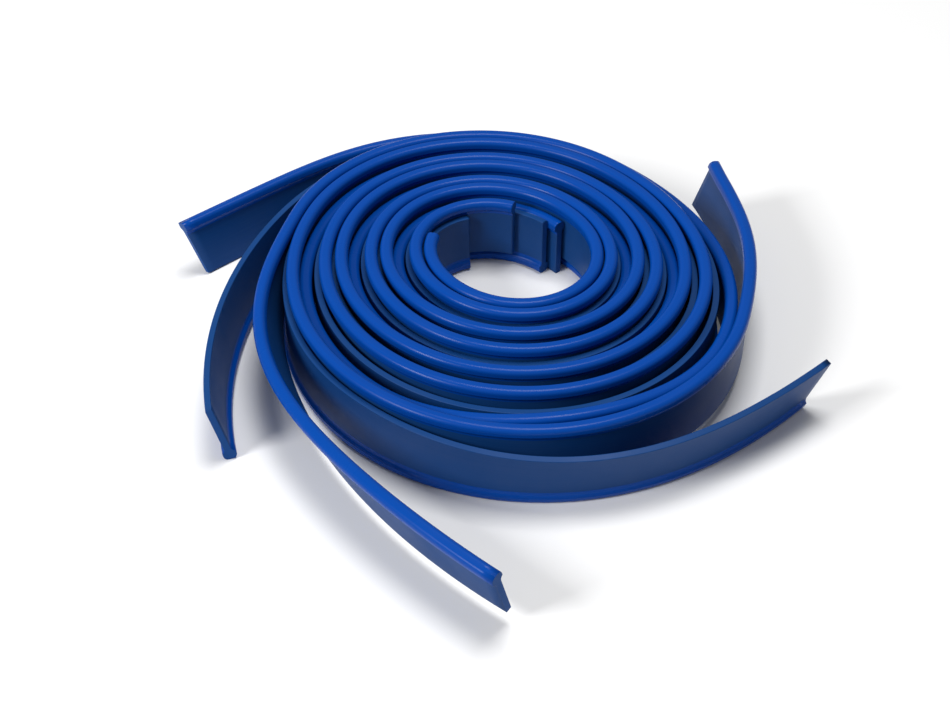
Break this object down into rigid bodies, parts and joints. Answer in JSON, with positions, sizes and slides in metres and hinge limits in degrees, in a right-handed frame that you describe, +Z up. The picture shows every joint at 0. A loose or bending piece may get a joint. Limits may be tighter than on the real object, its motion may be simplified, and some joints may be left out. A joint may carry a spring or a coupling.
{
  "type": "squeegee refill rubbers",
  "caption": "Loose coil of bead-edged rubber strips, refills for a squeegee applicator, nested bead up and bead down with their outer ends sprung free.",
  "frame": {"origin": "on the table, under the middle of the whole coil's outline", "axes": "+Z up from the table, +X to the viewer's right, +Y away from the viewer in the reference view"},
  "size_m": [0.1776, 0.1854, 0.0221],
  "materials": {
    "blue_rubber": "satin, extruded"
  },
  "bodies": {
    "right": {"strip_right": "blue_rubber"},
    "rear_right": {"strip_rear_right": "blue_rubber"},
    "front": {"strip_front": "blue_rubber"},
    "left": {"strip_left": "blue_rubber"},
    "rear_left": {"strip_rear_left": "blue_rubber"}
  },
  "joints": [
    {"name": "lift_rear_right", "type": "slide", "parent": "right", "child": "rear_right", "axis": [0, 0, 1], "range_m": [0, 0.025]},
    {"name": "lift_front", "type": "slide", "parent": "right", "child": "front", "axis": [0, 0, 1], "range_m": [0, 0.025]},
    {"name": "drop_rear_left", "type": "slide", "parent": "right", "child": "rear_left", "axis": [0, 0, 1], "range_m": [-0.01, 0]},
    {"name": "drop_left", "type": "slide", "parent": "right", "child": "left", "axis": [0, 0, 1], "range_m": [-0.025, 0]}
  ]
}
